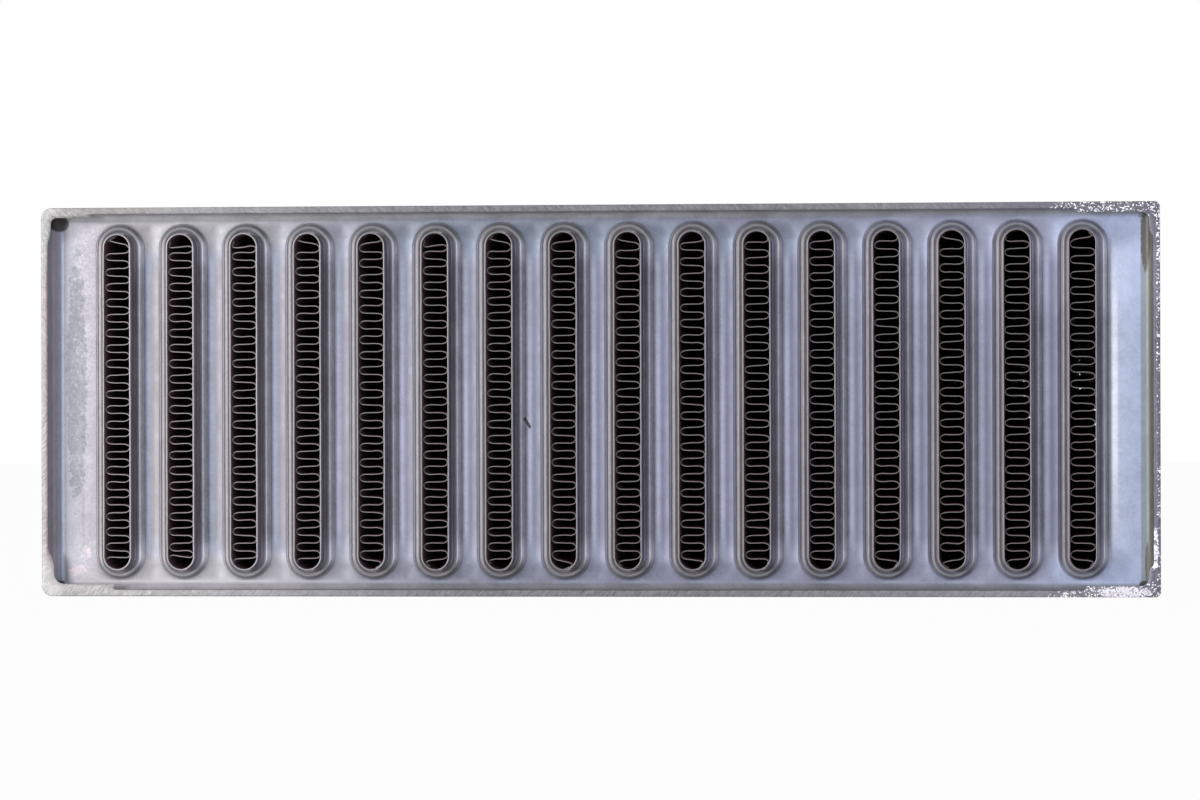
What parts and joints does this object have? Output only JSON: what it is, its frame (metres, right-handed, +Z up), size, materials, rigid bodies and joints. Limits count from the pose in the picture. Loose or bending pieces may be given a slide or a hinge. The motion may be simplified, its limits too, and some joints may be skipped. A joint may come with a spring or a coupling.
{
  "type": "intercooler core",
  "caption": "Brazed aluminium charge-air cooler core: flat tubes with folded turbulators and air fins between two folded header plates, ready for tanks to be welded on.",
  "frame": {"origin": "on the surface that the core rests on, under the middle of the core", "axes": "+X along the stack of tubes, +Y along the tubes from the front header to the rear one, +Z up along the long side of the tube ends"},
  "size_m": [0.3126, 0.2572, 0.109],
  "materials": {
    "header": "brazed matt grey sheet, with ground bright edges on its rim",
    "tube": "brazed satin sheet with bright cut ends",
    "turbulator": "thin brazed foil, darkened inside the tubes",
    "air_fin": "thin bright foil with louvres",
    "side_plate": "brazed matt sheet"
  },
  "bodies": {
    "root": {"front_header": "header", "rear_header": "header", "tube_01": "tube", "tube_02": "tube", "tube_03": "tube", "tube_04": "tube", "tube_05": "tube", "tube_06": "tube", "tube_07": "tube", "tube_08": "tube", "tube_09": "tube", "tube_10": "tube", "tube_11": "tube", "tube_12": "tube", "tube_13": "tube", "tube_14": "tube", "tube_15": "tube", "tube_16": "tube", "turbulator_01": "turbulator", "turbulator_02": "turbulator", "turbulator_03": "turbulator", "turbulator_04": "turbulator", "turbulator_05": "turbulator", "turbulator_06": "turbulator", "turbulator_07": "turbulator", "turbulator_08": "turbulator", "turbulator_09": "turbulator", "turbulator_10": "turbulator", "turbulator_11": "turbulator", "turbulator_12": "turbulator", "turbulator_13": "turbulator", "turbulator_14": "turbulator", "turbulator_15": "turbulator", "turbulator_16": "turbulator", "air_fin_01": "air_fin", "air_fin_02": "air_fin", "air_fin_03": "air_fin", "air_fin_04": "air_fin", "air_fin_05": "air_fin", "air_fin_06": "air_fin", "air_fin_07": "air_fin", "air_fin_08": "air_fin", "air_fin_09": "air_fin", "air_fin_10": "air_fin", "air_fin_11": "air_fin", "air_fin_12": "air_fin", "air_fin_13": "air_fin", "air_fin_14": "air_fin", "air_fin_15": "air_fin", "air_fin_16": "air_fin", "air_fin_17": "air_fin", "side_plate_left": "side_plate", "side_plate_right": "side_plate"}
  },
  "joints": []
}
